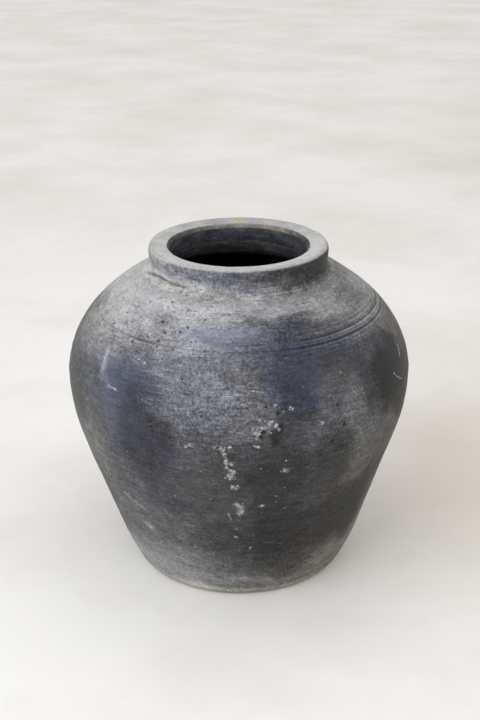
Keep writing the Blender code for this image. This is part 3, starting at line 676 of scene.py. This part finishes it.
def finish_of(p, theta, zone):
    """Tone, blue or brown tint, speckle, crust and painted shade in the pits (with the rim's real scuffs) at each
    point. The tone also carries painted sheen on the shoulder and painted highlight and shade at the grooves, the lap
    and a dent; the blue on the shoulder's front is painted reflection of the sky.
    """
    deg, z, n = np.degrees(theta), p[:, 2], len(p)
    rr = np.hypot(p[:, 0], p[:, 1])
    tone = laid(p, theta, 0.45, CLOUDS)
    speck = laid(p, theta, 0.55, SPECKLED)
    tint = laid(p, theta, 0.0, TINTS)
    ring = np.stack([2.2 * np.sin(theta), -2.2 * np.cos(theta), z / 3.0], 1)
    tone += 0.06 * noise(ring) + 0.065 * fbm(p / 14.0 + 3, 3) + 0.04 * fbm(p / (7, 7, 3.5) + 8, 2)
    # collar: dark under the rim, paling left and towards its root
    is_collar = zone == COLLAR
    wall_tone = np.interp(deg, (-180, -120, -75, -52, -30, -8, 12, 40, 70, 110, 150, 180),
                          (0.55, 0.62, 0.80, 0.76, 0.66, 0.57, 0.47, 0.28, 0.17, 0.34, 0.48, 0.55))
    root_tone = np.interp(deg, (-180, -120, -75, -50, -20, 5, 30, 60, 90, 130, 180),
                          (0.80, 0.90, 0.92, 0.86, 0.83, 0.82, 0.70, 0.62, 0.66, 0.74, 0.80))
    turn_z = np.interp(deg, (-180, -120, -90, -60, -30, -8, 14, 40, 70, 110, 180),
                       (276.0, 277.5, 278.5, 280.0, 279.0, 275.5, 272.0, 271.5, 273.0, 275.0, 276.0))
    spread = np.interp(deg, (-60, -10, 30, 70, 110), (2.6, 3.0, 5.0, 5.0, 3.0))
    mixz = smooth(-1, 1, (z - turn_z + 2.0 * fbm(p / (9, 9, 6), 3)) / spread)
    paler = 0.17 * (1 - smooth(277.0, 286.0, z + 2.0 * noise(p / (14, 14, 9) + 6))) * (1 - smooth(20, 60, deg)) - 0.05
    collar = root_tone * (1 - mixz) + (wall_tone + paler) * mixz
    collar += 0.20 * fbm(p / (12, 12, 4.5) + 13, 4) + 0.12 * noise(p / (26, 26, 9) + 3) + 0.10 * noise(p / (4.5, 4.5, 1.8) + 21)
    edge = smooth(290.0, 292.2, z)
    collar = collar * (1 - edge) + 0.90 * edge
    tone = np.where(is_collar, collar, tone)
    speck = np.where(is_collar, 0.8 - 0.5 * edge, speck)
    tint = np.where(is_collar, np.interp(deg, (-90, -40, 0, 30, 60), (0.0, 0.25, 0.35, 0.15, -0.05)) * (1 - edge) * mixz, tint)
    # just under the collar: dark smudges on the right, pale to the left
    under = (zone == OUT) * smooth(262.5, 268.5, z + 1.5 * fbm(p / 9.0, 2))
    tone += (root_tone - tone) * under * 0.85
    # rim: worn pale, darker and warmer at the back; a burnt mark at the very back
    is_rim = (zone == RIM)
    pale = np.interp(np.abs(deg), (0, 60, 120, 160, 180), (0.97, 0.98, 0.90, 0.84, 0.88)) + 0.07 * fbm(p / 13.0 + 23, 3)
    tone = np.where(is_rim, pale, tone)
    speck = np.where(is_rim, 0.10, speck)
    scuffs = np.clip((noise(p / 2.1 + 17) - 0.30) * 4.0, 0, 0.55) * smooth(-125, -95, deg) * (1 - smooth(-20, 5, deg))
    tint = np.where(is_rim, 0.05, tint)
    mark = np.exp(-(((p[:, 0] + 1.5 + 0.5 * (rr - 70)) / 3.0) ** 2)) * (p[:, 1] > 0) * (is_rim | is_collar) * smooth(286, 291, z)
    mark *= np.clip(0.9 + 1.6 * noise(p / 3.6 + 3), 0, 1)
    tan = 1.15 * mark
    tone = tone + 0.05 * mark
    # bevelled band below the rim, and the inside
    is_lip = zone == LIP
    band = np.interp(deg, (-180, -160, -135, -100, -60, 0, 60, 100, 128, 140, 158, 170, 180),
                     (0.66, 0.62, 0.46, 0.14, 0.40, 0.88, 0.74, 0.26, 0.46, 0.58, 0.60, 0.62, 0.66))
    ochre = np.interp(deg, (-180, -172, -150, -125, -95, -78, -60, 60, 100, 118, 132, 150, 172, 180),
                      (0.40, 0.10, 0.05, 0.16, 0.20, 0.10, 0.0, 0.0, 0.06, 0.14, 0.55, 0.42, 0.08, 0.40))
    tone = np.where(is_lip, band + 0.16 * fbm(p / (7, 7, 3), 3), tone)
    tan = np.where(is_lip, ochre * np.clip(0.55 + 2.2 * fbm(p / (8, 8, 3.5) + 5, 3), 0, 1.2), tan)
    speck = np.where(is_lip, 0.3, speck)
    tan = np.where(zone == OUT, 0.48 * np.clip(0.28 + 2.6 * fbm(p / (6, 6, 3) + 15, 3), 0, 1) * (1 - smooth(5.0, 10.0, z)), tan)
    inner = zone == INNER
    deep = smooth(262, 284, z)
    tone = np.where(inner, 0.16 + 0.20 * deep + 0.24 * fbm(p / (18, 18, 3) + 2, 3), tone)
    tint = np.where(inner, 0.45 * deep, tint)
    speck = np.where(inner, 0.35, speck)
    bottom = zone == UNDER
    tone = np.where(bottom, 0.56 + 0.16 * fbm(p / 30.0, 4), tone)
    tint = np.where(bottom, -0.35, tint)
    speck = np.where(bottom, 0.7, speck)
    joint = zone == JOINT
    tone = np.where(joint, 0.4, tone)
    # painted highlight along the turned grooves' edges and painted shade in their beds, with a faint lighter line on
    # the waist ridge and a darker one along the foot's step
    out = np.nonzero(zone == OUT)[0]
    d, zo = deg[out], z[out]
    wander = 0.55 * noise(np.stack([1.6 * np.sin(theta[out]), 1.6 * np.cos(theta[out]), 0 * zo + 4], 1))
    zo = zo - wander
    right = smooth(12, 38, d) * (1 - smooth(100, 150, d))
    left2 = smooth(-50, -42, d) * (1 - smooth(-34, -24, d))
    for at, w, amount, k in ((241.3, 0.55, -0.24, 0.35 + right + left2), (240.0, 0.5, 0.18, 0.15 + right), (237.6, 0.5, 0.10, right),
                             (245.4, 0.5, -0.18, right + 0.1), (244.2, 0.5, 0.20, right + 0.1), (247.9, 0.5, 0.14, right),
                             (242.6, 0.5, 0.13, right), (250.2, 0.5, 0.12, right), (235.4, 0.5, 0.08, right),
                             (186.6, 1.7, 0.05, 0.6 + 0 * right), (10.4, 0.8, -0.12, 0.7 + 0 * right)):
        tone[out] += amount * np.clip(k, 0, 1) * np.exp(-((zo - at) / w) ** 2)
    # the pits are darkened: painted shade in their hollows; the rim's dark scuffs are real wear carried in the same
    # layer
    crust, pit_shade_and_scuff = np.zeros(n), np.where(is_rim, scuffs, 0.0)
    keep = np.nonzero((zone == OUT) | is_collar)[0]
    q = p[keep]
    for (a, h, r, depth), i, dist in close_dots(q, PITS, 2.3):
        pit_shade_and_scuff[keep[i]] = np.maximum(pit_shade_and_scuff[keep[i]], np.exp(-(dist / (1.05 * r)) ** 4) * min(1.0, 0.45 + 0.6 * depth))
    for (a, h, r, up), i, dist in close_dots(q, CRUST, 2.6):
        t = dist / (r * (1.25 + 0.6 * noise(q[i] / 1.3 + 9)))
        crust[keep[i]] = np.maximum(crust[keep[i]], np.exp(-t**3) * min(1.0, 0.45 + 0.6 * up))
    for pts, half, depth, pale in LINES:
        zs = [b for _, b in pts]
        band = np.nonzero((q[:, 2] > min(zs) - 5) & (q[:, 2] < max(zs) + 5))[0]
        if len(band) == 0:
            continue
        dist, along = near_line(q[band], pts)
        taper = smooth(0, 0.15, along) * (1 - 0.6 * smooth(0.7, 1, along))
        m = np.minimum(1.0, 1.45 * pale) * np.exp(-(dist / (1.15 * half)) ** 2) * taper * np.clip(0.85 + 0.9 * noise(q[band] / 2.4), 0, 1)
        crust[keep[band]] = np.maximum(crust[keep[band]], m)
    # soft pale streaks rubbed on the left
    for a0, h0, a1, h1, half, pale in ((-52.3, 228.0, -50.0, 209.0, 3.2, 0.20), (-49.0, 214.0, -46.5, 206.0, 4.0, 0.08),
                                       (-41.0, 71.0, -37.5, 69.5, 3.0, 0.22), (-53.5, 150.0, -57.0, 126.0, 4.0, 0.10),
                                       (-0.9, 115.5, 0.9, 110.5, 2.6, 0.42), (-2.4, 148.0, -1.9, 144.0, 2.2, 0.34),
                                       (-1.9, 135.0, -1.2, 132.5, 2.0, 0.30), (0.4, 107.5, 0.9, 104.5, 2.0, 0.30),
                                       (14.0, 149.4, 15.0, 148.4, 2.2, 0.28), (7.4, 112.8, 8.8, 112.0, 2.4, 0.22),
                                       (66.0, 240.0, 72.0, 222.0, 4.0, 0.10), (200.0, 190.0, 196.0, 168.0, 5.0, 0.20)):
        dist, along = near_line(q, ((a0, h0), (0.5 * (a0 + a1), 0.5 * (h0 + h1)), (a1, h1)))
        tone[keep] += pale * np.exp(-(dist / half) ** 2) * np.clip(0.9 + 1.2 * fbm(q / (3.5, 3.5, 9.0) + 4, 2), 0.2, 1.4)
    # painted shade in the lap's crease and along its tail, and a painted highlight on the raised edge of the lap on the
    # right
    near = keep[(q[:, 2] > 262)]
    if len(near):
        dist, along = near_line(p[near], LAP)
        ends = smooth(0.0, 0.12, along) * (1 - smooth(0.86, 1.0, along))
        tone[near] += -0.36 * np.exp(-(dist / 0.8) ** 2) * ends
        dist, _ = near_line(p[near], LAP_TAIL)
        tone[near] += -0.16 * np.exp(-(dist / 0.9) ** 2)
        dist, along = near_line(p[near], LAP_RIGHT)
        zr = np.interp(deg[near], [a for a, _ in LAP_RIGHT], [b for _, b in LAP_RIGHT])
        side = smooth(8, 16, deg[near]) * (1 - smooth(36, 46, deg[near]))
        tone[near] += side * 0.15 * np.exp(-((z[near] - zr - 0.6) / 0.55) ** 2)
    return {"tone": np.clip(tone, 0, 1.05), "tint": np.clip(tint, -1, 1.4), "speck": np.clip(speck, 0, 1),
            "crust": np.clip(crust, 0, 1), "pit_shade_and_scuff": np.clip(pit_shade_and_scuff, 0, 1), "ochre": np.clip(tan, 0, 1)}


# ---- meshes ---------------------------------------------------------------------------
def refine(bm, layer, rows, centres, reach, cuts):
    """Cuts faces near the given points finer."""
    tree_pts = np.array(centres)
    edges = set()
    faces = [f for f in bm.faces if len(f.verts) == 4]
    mids = np.array([f.calc_center_median()[:] for f in faces])
    hit = np.zeros(len(faces), bool)
    for c, r in zip(tree_pts, reach):
        near = np.nonzero(np.abs(mids[:, 2] - c[2]) < r)[0]
        hit[near[np.linalg.norm(mids[near] - c, axis=1) < r]] = True
    zones = [row[4] for row in rows]
    for f in (faces[i] for i in np.nonzero(hit)[0]):
        if all(zones[int(round(v[layer])) % len(zones)] in (OUT, COLLAR) for v in f.verts):
            edges.update(f.edges)
    if edges:
        bmesh.ops.subdivide_edges(bm, edges=list(edges), cuts=cuts, use_grid_fill=True)


def section(name, rows, corners, closed):
    n, k = SEGMENTS, len(rows)
    bm = bmesh.new()
    layer = bm.verts.layers.float.new("k")
    theta = np.linspace(0, 2 * math.pi, n, endpoint=False)
    sin, cos = np.sin(theta), np.cos(theta)
    ring = []
    for i, (r, z, _, _, _) in enumerate(rows):
        line = [bm.verts.new((r * sin[j], -r * cos[j], z)) for j in range(n)]
        for v in line:
            v[layer] = i
        ring.append(line)
    for i in range(k - 1 + closed):
        a, b = ring[i], ring[(i + 1) % k]
        for j in range(n):
            bm.faces.new((a[j], b[j], b[(j + 1) % n], a[(j + 1) % n]))
    if not closed:
        for line, row, at in ((ring[0], rows[0], 0), (ring[-1], rows[-1], k - 1)):
            mid = bm.verts.new((0.0, 0.0, row[1]))
            mid[layer] = at
            for j in range(n):
                tri = (mid, line[j], line[(j + 1) % n])
                bm.faces.new(tri if at == 0 else tri[::-1])
    # mark the corners of the section as sharp before cutting
    for i in corners:
        line = ring[i]
        for j in range(n):
            e = bm.edges.get((line[j], line[(j + 1) % n]))
            if e:
                e.smooth = False
    centres, reach = [], []
    for a, h, r in DOTS:
        if h < 188 and (r < 0.8 or (abs(a) > 75 and r < 1.05)):
            continue      # too small to cut the lower wall finer for
        centres.append(surface_point(a, h))
        reach.append(1.5 * r + 0.7)
    for pts, half, depth, pale in LINES:
        if pts[0][0] > 80 and pts[0][1] < 188:
            continue
        q = [surface_point(*s) for s in pts]
        for a, b in zip(q, q[1:]):
            m = max(1, int(np.linalg.norm(b - a) / 1.5))
            for t in range(m + 1):
                centres.append(a + (b - a) * t / m)
                reach.append(1.5)
    lo, hi = min(r[1] for r in rows) - 3, max(r[1] for r in rows) + 3
    use = [i for i, c in enumerate(centres) if lo < c[2] < hi]
    refine(bm, layer, rows, [centres[i] for i in use], [reach[i] for i in use], 2)
    bm.verts.ensure_lookup_table()
    p = np.array([v.co[:] for v in bm.verts], dtype=float)
    kk = np.array([v[layer] for v in bm.verts])
    theta = np.arctan2(p[:, 0], -p[:, 1])
    r, z, nr, nz, zone = base_of(rows, kk)
    axis = np.hypot(p[:, 0], p[:, 1]) < 1e-6
    r[axis] = 0
    # normals of the collar's root turn into the shoulder's, so that they stay together
    rs, ds = outer(z)
    sn = 1 / np.hypot(1, ds)
    root = (zone == COLLAR) * (1 - smooth(COLLAR_SEAM, COLLAR_SEAM + 2.6, z))
    nr, nz = nr * (1 - root) + sn * root, nz * (1 - root) - ds * sn * root
    p = np.stack([r * np.sin(theta), -r * np.cos(theta), z], 1)
    _, dx, dr, dz = unevenness(p)
    d = hand_marks(p, theta, zone)
    looks = finish_of(p, theta, zone)
    r2, z2 = r + nr * d + dr * (r > 1), z + nz * d + dz
    q = np.stack([r2 * np.sin(theta) + dx, -r2 * np.cos(theta), np.maximum(z2, 0.02)], 1) / 1000.0
    for v, c in zip(bm.verts, q):
        v.co = c
    bmesh.ops.recalc_face_normals(bm, faces=bm.faces)
    mesh = bpy.data.meshes.new(name)
    bm.to_mesh(mesh)
    bm.free()
    mesh.shade_smooth() if hasattr(mesh, "shade_smooth") else None
    for poly in mesh.polygons:
        poly.use_smooth = True
    for key in [a.name for a in mesh.attributes if a.name == "k"]:
        mesh.attributes.remove(mesh.attributes[key])
    for key, values in looks.items():
        mesh.attributes.new(key, "FLOAT", "POINT").data.foreach_set("value", values.astype(np.float32))
    mesh.update()
    obj = bpy.data.objects.new(name, mesh)
    bpy.context.collection.objects.link(obj)
    return obj


# ---- fired clay -----------------------------------------------------------------------
def clay(name, seed, deep=0.0):
    mat = bpy.data.materials.new(name)
    mat.use_nodes = True
    nt = mat.node_tree
    nt.nodes.clear()
    new, link = nt.nodes.new, nt.links.new

    def attr(key):
        node = new("ShaderNodeAttribute")
        node.attribute_name = key
        return node.outputs["Fac"]

    def math_(op, a, b=None, c=None, clamp=False):
        node = new("ShaderNodeMath")
        node.operation, node.use_clamp = op, clamp
        for i, x in enumerate((a, b, c)):
            if x is None:
                continue
            if isinstance(x, (int, float)):
                node.inputs[i].default_value = x
            else:
                link(x, node.inputs[i])
        return node.outputs[0]

    coord = new("ShaderNodeTexCoord").outputs["Object"]

    def pattern(scale, detail=3.0, rough=0.55, stretch=(1, 1, 1), shift=0.0, distort=0.0):
        m = new("ShaderNodeMapping")
        m.inputs["Scale"].default_value = stretch
        m.inputs["Location"].default_value = (shift + seed, shift * 0.7, -shift)
        link(coord, m.inputs["Vector"])
        t = new("ShaderNodeTexNoise")
        t.inputs["Scale"].default_value = scale
        t.inputs["Detail"].default_value = detail
        t.inputs["Roughness"].default_value = rough
        t.inputs["Distortion"].default_value = distort
        link(m.outputs["Vector"], t.inputs["Vector"])
        return t.outputs["Fac"]

    def hairs(scale, stretch, turn, shift, start, gain):
        m = new("ShaderNodeMapping")
        m.inputs["Rotation"].default_value = turn
        m.inputs["Scale"].default_value = stretch
        m.inputs["Location"].default_value = (shift, -shift, shift * 0.5)
        link(coord, m.inputs["Vector"])
        n = new("ShaderNodeTexNoise")
        n.inputs["Scale"].default_value = scale
        n.inputs["Detail"].default_value = 1.5
        n.inputs["Roughness"].default_value = 0.5
        link(m.outputs["Vector"], n.inputs["Vector"])
        return math_("MULTIPLY", math_("SUBTRACT", n.outputs["Fac"], start), gain, clamp=True)

    def ramp(x, stops):
        node = new("ShaderNodeValToRGB")
        e = node.color_ramp.elements
        while len(e) > 1:
            e.remove(e[-1])
        e[0].position, e[0].color = stops[0][0], (*stops[0][1], 1)
        for pos, col in stops[1:]:
            e.new(pos).color = (*col, 1)
        link(x, node.inputs["Fac"])
        return node.outputs["Color"]

    def mix(a, b, f, mode="MIX"):
        node = new("ShaderNodeMix")
        node.data_type, node.blend_type = "RGBA", mode
        for x, key in ((f, 0), (a, 6), (b, 7)):
            if isinstance(x, (int, float)):
                node.inputs[key].default_value = x
            elif isinstance(x, tuple):
                node.inputs[key].default_value = (*x, 1)
            else:
                link(x, node.inputs[key])
        return node.outputs[2]

    def centred(x, gain):
        return math_("MULTIPLY", math_("SUBTRACT", x, 0.5), gain)

    tone, tint, speck = attr("tone"), attr("tint"), attr("speck")
    crust, pit_shade_and_scuff, ochre = attr("crust"), attr("pit_shade_and_scuff"), attr("ochre")

    fine = pattern(520, 4.0, 0.62)                         # salt and pepper, about 2 mm
    finer = pattern(1250, 2.0, 0.6, shift=3)
    mid = pattern(120, 4.0, 0.6, shift=7)
    streak = pattern(60, 4.0, 0.6, (1, 1, 9), shift=11)    # drawn out round the pot
    brush = pattern(160, 3.0, 0.6, (1, 1, 6), shift=19)

    coarse = pattern(270, 3.0, 0.6, shift=29)
    peppered = math_("ADD", centred(fine, 0.95), centred(finer, 0.40))
    peppered = math_("ADD", peppered, centred(coarse, 0.36))
    t = math_("ADD", tone, math_("MULTIPLY", peppered, math_("MULTIPLY_ADD", speck, 0.80, 0.16)))
    drawn = math_("ADD", math_("ADD", centred(mid, 0.26), centred(streak, 0.30)), centred(brush, 0.20))
    t = math_("ADD", t, math_("MULTIPLY", drawn, math_("MULTIPLY_ADD", speck, 0.65, 0.50)), clamp=True)

    pale_hair = math_("MAXIMUM", hairs(55, (1, 1, 16), (0.0, 0.16, 0.0), 2.0, 0.64, 9.0),
                      hairs(75, (1, 1, 14), (0.22, -0.10, 0.0), 5.0, 0.665, 9.0))
    dark_hair = hairs(60, (1, 1, 15), (-0.06, 0.10, 0.0), 8.0, 0.645, 8.0)
    worn = math_("MULTIPLY_ADD", speck, 0.13, 0.07)
    t = math_("ADD", t, math_("MULTIPLY", math_("SUBTRACT", pale_hair, dark_hair), worn), clamp=True)
    body = ramp(t, ((0.0, (0.0085, 0.0085, 0.0088)), (0.14, (0.0195, 0.0195, 0.0200)), (0.28, (0.0425, 0.0425, 0.0432)),
                    (0.42, (0.0800, 0.0800, 0.0812)), (0.56, (0.143, 0.1435, 0.145)), (0.70, (0.230, 0.2315, 0.233)),
                    (0.84, (0.350, 0.3525, 0.353)), (1.0, (0.525, 0.526, 0.520))))
    # tint above 0 blues the clay: the smoke's own blue-grey, and on the shoulder's front a painted reflection of the
    # sky
    blue = mix(body, (0.785, 0.905, 1.36), math_("MAXIMUM", tint, 0.0), "MULTIPLY")
    brown = mix(blue, (1.235, 1.0, 0.665), math_("MULTIPLY", math_("MAXIMUM", math_("MULTIPLY", tint, -1.0), 0.0), 1.0, clamp=True), "MULTIPLY")

    # pinholes too small to model, darkened as painted shade in them
    v = new("ShaderNodeTexVoronoi")
    v.inputs["Scale"].default_value = 190
    link(coord, v.inputs["Vector"])
    gate = math_("GREATER_THAN", new_sep(nt, v.outputs["Color"]), 0.86)
    hole = math_("MULTIPLY", math_("LESS_THAN", v.outputs["Distance"], 0.17), gate)
    hole = math_("MULTIPLY", hole, math_("MULTIPLY_ADD", speck, 0.7, 0.15))
    colour = mix(brown, (0.022, 0.022, 0.026), math_("MULTIPLY", hole, 0.85))
    v2 = new("ShaderNodeTexVoronoi")
    v2.inputs["Scale"].default_value = 150
    m2 = new("ShaderNodeMapping")
    m2.inputs["Location"].default_value = (0.37 + seed, 0.11, 0.23)
    link(coord, m2.inputs["Vector"])
    link(m2.outputs["Vector"], v2.inputs["Vector"])
    gate2 = math_("GREATER_THAN", new_sep(nt, v2.outputs["Color"]), 0.93)
    grain = math_("MULTIPLY", math_("LESS_THAN", v2.outputs["Distance"], 0.13), gate2)
    colour = mix(colour, (0.36, 0.36, 0.35), math_("MULTIPLY", grain, math_("MULTIPLY_ADD", speck, 0.55, 0.12)))

    # painted shade in the pits, with the rim's dark scuffs
    colour = mix(colour, (0.014, 0.014, 0.016), math_("MULTIPLY", pit_shade_and_scuff, 0.86))
    ragged = math_("ADD", math_("MULTIPLY", crust, 1.35), math_("ADD", centred(fine, 3.4), centred(finer, 2.4)))
    crumbs = math_("MULTIPLY", math_("SUBTRACT", ragged, 0.34), 1.5, clamp=True)
    crumbs = math_("MULTIPLY", crumbs, math_("MULTIPLY", crust, 1.8, clamp=True))
    crumb_colour = mix((0.22, 0.215, 0.205), (0.50, 0.495, 0.48), math_("MULTIPLY_ADD", centred(coarse, 3.0), 1.0, 0.45, clamp=True))
    colour = mix(colour, crumb_colour, crumbs)
    colour = mix(colour, (0.45, 0.345, 0.205), math_("MULTIPLY", ochre, 0.85, clamp=True))

    rough = math_("MULTIPLY_ADD", t, 0.34, 0.50)
    rough = math_("ADD", rough, centred(mid, 0.16))
    rough = math_("ADD", rough, math_("MULTIPLY", crumbs, 0.25), clamp=True)

    height = math_("ADD", math_("MULTIPLY", fine, 0.55), math_("MULTIPLY", finer, 0.30))
    height = math_("ADD", height, math_("MULTIPLY", mid, 0.5))
    height = math_("ADD", height, math_("MULTIPLY", streak, 0.35))
    height = math_("SUBTRACT", height, math_("MULTIPLY", hole, 0.8))
    bump = new("ShaderNodeBump")
    bump.inputs["Strength"].default_value = 0.55
    bump.inputs["Distance"].default_value = 0.0006
    link(height, bump.inputs["Height"])

    bsdf = new("ShaderNodeBsdfPrincipled")
    bsdf.inputs["Metallic"].default_value = 0.0
    bsdf.inputs["IOR"].default_value = 1.5
    bsdf.inputs["Specular IOR Level"].default_value = 0.24
    link(colour, bsdf.inputs["Base Color"])
    link(rough, bsdf.inputs["Roughness"])
    link(bump.outputs["Normal"], bsdf.inputs["Normal"])
    out = new("ShaderNodeOutputMaterial")
    link(bsdf.outputs[0], out.inputs["Surface"])
    return mat


def new_sep(nt, colour):
    """The red part of a colour."""
    node = nt.nodes.new("ShaderNodeSeparateColor")
    nt.links.new(colour, node.inputs[0])
    return node.outputs[0]


clay_look = clay("smoked_clay", 0.0)
for name, ((rows, corners), closed, slot) in SECTIONS.items():
    piece = section(name + "_fired", rows, corners, closed)
    piece.data.materials.append(clay_look)
    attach(piece, "root")
    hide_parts(name)


# ---- floor, light and camera ---------------------------------------------------------
def plaster():
    mat = bpy.data.materials.new("pale_plaster")
    mat.use_nodes = True
    nt = mat.node_tree
    bsdf = nt.nodes["Principled BSDF"]
    bsdf.inputs["Roughness"].default_value = 0.9
    bsdf.inputs["Specular IOR Level"].default_value = 0.2
    coord = nt.nodes.new("ShaderNodeTexCoord")
    big = nt.nodes.new("ShaderNodeTexNoise")
    big.inputs["Scale"].default_value = 2.6
    big.inputs["Detail"].default_value = 6
    big.inputs["Roughness"].default_value = 0.62
    nt.links.new(coord.outputs["Object"], big.inputs["Vector"])
    ramp = nt.nodes.new("ShaderNodeValToRGB")
    e = ramp.color_ramp.elements
    e[0].position, e[0].color = 0.36, (0.83, 0.81, 0.79, 1)
    e[1].position, e[1].color = 0.58, (0.92, 0.92, 0.922, 1)
    nt.links.new(big.outputs["Fac"], ramp.inputs["Fac"])
    where = nt.nodes.new("ShaderNodeSeparateXYZ")
    nt.links.new(coord.outputs["Object"], where.inputs["Vector"])
    colour = ramp.outputs["Color"]
    # the floor darkens towards the back
    depth = nt.nodes.new("ShaderNodeMapRange")
    depth.interpolation_type = "SMOOTHSTEP"
    depth.inputs["From Min"].default_value, depth.inputs["From Max"].default_value = -3.45, -1.9
    nt.links.new(where.outputs["Y"], depth.inputs["Value"])
    fade = nt.nodes.new("ShaderNodeValToRGB")
    e = fade.color_ramp.elements
    e[0].position, e[0].color = 0.0, (1.0, 1.0, 1.0, 1)
    e[1].position, e[1].color = 1.0, (0.85, 0.845, 0.84, 1)
    nt.links.new(depth.outputs["Result"], fade.inputs["Fac"])
    tints = [fade.outputs["Color"]]
    # two darker, warmer patches: the near one, to the right of the pot, is painted shadow; the far one darkens the
    # floor's far right
    for centre, inner, outer_, tint in (((0.42, -2.92, 0.0), 0.10, 0.42, (0.80, 0.76, 0.69)),
                                        ((1.25, -1.2, 0.0), 0.30, 1.15, (0.90, 0.875, 0.84))):
        far = nt.nodes.new("ShaderNodeVectorMath")
        far.operation = "DISTANCE"
        far.inputs[1].default_value = centre
        nt.links.new(coord.outputs["Object"], far.inputs[0])
        soft = nt.nodes.new("ShaderNodeMapRange")
        soft.interpolation_type = "SMOOTHSTEP"
        soft.inputs["From Min"].default_value, soft.inputs["From Max"].default_value = inner, outer_
        soft.inputs["To Min"].default_value, soft.inputs["To Max"].default_value = 1.0, 0.0
        nt.links.new(far.outputs["Value"], soft.inputs["Value"])
        patch = nt.nodes.new("ShaderNodeMix")
        patch.data_type = "RGBA"
        patch.inputs[6].default_value, patch.inputs[7].default_value = (1, 1, 1, 1), (*tint, 1)
        nt.links.new(soft.outputs["Result"], patch.inputs[0])
        tints.append(patch.outputs[2])
    for socket in tints:
        times = nt.nodes.new("ShaderNodeMix")
        times.data_type, times.blend_type = "RGBA", "MULTIPLY"
        times.inputs[0].default_value = 1.0
        nt.links.new(colour, times.inputs[6])
        nt.links.new(socket, times.inputs[7])
        colour = times.outputs[2]
    nt.links.new(colour, bsdf.inputs["Base Color"])
    small = nt.nodes.new("ShaderNodeTexNoise")
    small.inputs["Scale"].default_value = 40
    small.inputs["Detail"].default_value = 5
    nt.links.new(coord.outputs["Object"], small.inputs["Vector"])
    bump = nt.nodes.new("ShaderNodeBump")
    bump.inputs["Strength"].default_value = 0.12
    bump.inputs["Distance"].default_value = 0.002
    nt.links.new(small.outputs["Fac"], bump.inputs["Height"])
    nt.links.new(bump.outputs["Normal"], bsdf.inputs["Normal"])
    return mat


bm = bmesh.new()
bmesh.ops.create_grid(bm, x_segments=8, y_segments=8, size=9.0)
floor_mesh = bpy.data.meshes.new("floor")
bm.to_mesh(floor_mesh)
bm.free()
floor = bpy.data.objects.new("floor", floor_mesh)
floor.location = (0.0, 3.0, 0.0)
floor_mesh.materials.append(plaster())
bpy.context.collection.objects.link(floor)


def area_light(name, azimuth, elevation, distance, size, watts, colour):
    """A square lamp looking at the pot. Azimuth 0 is in front, + to the right."""
    data = bpy.data.lights.new(name, "AREA")
    data.shape, data.size, data.energy, data.color = "SQUARE", size, watts, colour
    obj = bpy.data.objects.new(name, data)
    a, e = math.radians(azimuth), math.radians(elevation)
    away = np.array((math.cos(e) * math.sin(a), -math.cos(e) * math.cos(a), math.sin(e)))
    obj.location = away * distance + np.array((0, 0, 0.15))
    right = np.array((math.cos(a), math.sin(a), 0.0))
    up = np.cross(away, right)
    m = Matrix([[right[i], up[i], away[i], obj.location[i]] for i in range(3)] + [[0, 0, 0, 1]])
    obj.matrix_world = m
    bpy.context.collection.objects.link(obj)


area_light("window", -46, 38, 4.4, 3.2, 62, (0.955, 0.985, 1.035))
world = bpy.data.worlds.new("soft_room")
world.use_nodes = True
world.node_tree.nodes["Background"].inputs["Color"].default_value = (1.0, 0.978, 0.945, 1)
world.node_tree.nodes["Background"].inputs["Strength"].default_value = 0.95
bpy.context.scene.world = world

pitch, yaw, roll = math.radians(22.95), math.radians(0.06), math.radians(-0.25)
fwd = np.array((math.sin(yaw) * math.cos(pitch), math.cos(yaw) * math.cos(pitch), -math.sin(pitch)))
right = np.array((math.cos(yaw), -math.sin(yaw), 0.0))
up = np.cross(right, fwd)
r2, u2 = math.cos(roll) * right + math.sin(roll) * up, -math.sin(roll) * right + math.cos(roll) * up
camera = bpy.data.objects.new("camera", bpy.data.cameras.new("camera"))
camera.data.lens = 55.0
camera.data.clip_end = 60.0
camera.matrix_world = Matrix([[r2[i], u2[i], -fwd[i], (0.0, -0.9045, 0.566)[i]] for i in range(3)] + [[0, 0, 0, 1]])
bpy.context.collection.objects.link(camera)
bpy.context.scene.camera = camera
bpy.context.scene.view_settings.view_transform = "Standard"
bpy.context.scene.view_settings.look = "None"
bpy.context.scene.view_settings.exposure = 0.0
bpy.context.scene.view_settings.gamma = 1.0

bpy.context.view_layer.update()
